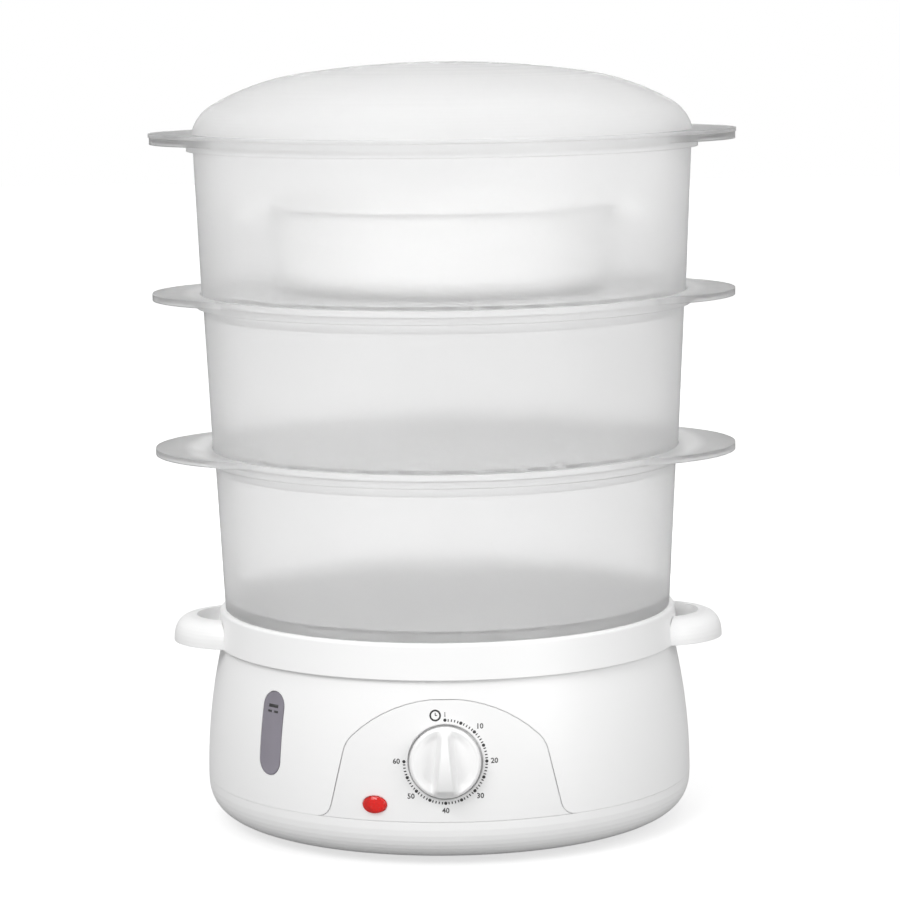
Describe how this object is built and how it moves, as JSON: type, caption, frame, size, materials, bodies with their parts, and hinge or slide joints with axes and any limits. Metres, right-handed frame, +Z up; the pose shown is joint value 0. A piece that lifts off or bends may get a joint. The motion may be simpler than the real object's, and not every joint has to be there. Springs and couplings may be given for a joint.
{
  "type": "electric food steamer",
  "caption": "Electric food steamer: round white base with a timer knob, water tank and heater, stacked clear baskets with ears, a bowl and a domed lid.",
  "frame": {"origin": "centre of the round base, on the table that the feet stand on", "axes": "+Z up, +X to the right ear, -Y towards the timer knob"},
  "size_m": [0.2866, 0.2636, 0.372],
  "materials": {
    "base_white": "moulded",
    "panel_white": "moulded",
    "clear_basket": "clear",
    "frosted_lid": "frosted",
    "bowl_white": "moulded",
    "tray_clear": "clear",
    "sleeve_white": "moulded",
    "foot_rubber": "moulded",
    "seal_rubber": "moulded",
    "screw_steel": "zinc plated",
    "heater_steel": "brushed",
    "element": "oxidised",
    "thermostat_body": "glazed",
    "fuse_brass": "plated",
    "timer_steel": "plated",
    "timer_brass": "stamped",
    "cam_plastic": "moulded",
    "knob_white": "moulded",
    "lens_red": "clear red plastic",
    "lamp_glass": "clear",
    "holder_black": "moulded",
    "window_clear": "tinted clear plastic",
    "block_white": "moulded",
    "gland_rubber": "moulded",
    "lead_sleeve": "extruded"
  },
  "bodies": {
    "base": {"bottom_pan": "base_white", "outer_housing": "base_white", "water_tank": "base_white", "control_panel": "panel_white", "feet": "foot_rubber", "case_screws": "screw_steel", "lamp_lens": "lens_red", "lamp_holder": "holder_black", "neon_lamp": "lamp_glass", "gauge_window": "window_clear", "gauge_seal": "seal_rubber", "heater_seal": "seal_rubber", "heater_plate": "heater_steel", "heater_tube": "element", "heater_clamp": "heater_steel", "heater_nuts": "screw_steel", "thermostat": "thermostat_body", "thermal_fuse": "fuse_brass", "timer_plate": "timer_steel", "timer_case": "timer_steel", "timer_bell": "timer_steel", "timer_screws": "screw_steel", "timer_barrel": "timer_brass", "timer_gears": "timer_brass", "timer_contacts": "timer_brass", "cord_gland": "gland_rubber", "terminal_block": "block_white", "terminal_screws": "screw_steel", "wiring": "lead_sleeve"},
    "knob": {"timer_knob": "knob_white", "timer_spindle": "timer_steel", "timer_cam": "cam_plastic"},
    "turbo_ring": {"turbo_ring": "sleeve_white"},
    "drip_tray": {"drip_tray": "tray_clear"},
    "basket_1": {"basket_1": "clear_basket"},
    "basket_2": {"basket_2": "clear_basket"},
    "basket_3": {"basket_3": "clear_basket"},
    "rice_bowl": {"rice_bowl": "bowl_white"},
    "lid": {"lid": "frosted_lid"}
  },
  "joints": [
    {"name": "timer_turn", "type": "hinge", "parent": "base", "child": "knob", "pos_m": [0, -0.11826, 0.051], "axis": [0, 0.9949, -0.1011], "range_deg": [0, 270]},
    {"name": "turbo_ring_lift", "type": "slide", "parent": "base", "child": "turbo_ring", "axis": [0, 0, 1], "range_m": [0, 0.08]},
    {"name": "drip_tray_lift", "type": "slide", "parent": "turbo_ring", "child": "drip_tray", "axis": [0, 0, 1], "range_m": [0, 0.03]},
    {"name": "basket_1_lift", "type": "slide", "parent": "drip_tray", "child": "basket_1", "axis": [0, 0, 1], "range_m": [0, 0.06]},
    {"name": "basket_2_lift", "type": "slide", "parent": "basket_1", "child": "basket_2", "axis": [0, 0, 1], "range_m": [0, 0.06]},
    {"name": "basket_3_lift", "type": "slide", "parent": "basket_2", "child": "basket_3", "axis": [0, 0, 1], "range_m": [0, 0.06]},
    {"name": "rice_bowl_lift", "type": "slide", "parent": "basket_3", "child": "rice_bowl", "axis": [0, 0, 1], "range_m": [0, 0.09]},
    {"name": "lid_lift", "type": "slide", "parent": "rice_bowl", "child": "lid", "axis": [0, 0, 1], "range_m": [0, 0.06]}
  ]
}
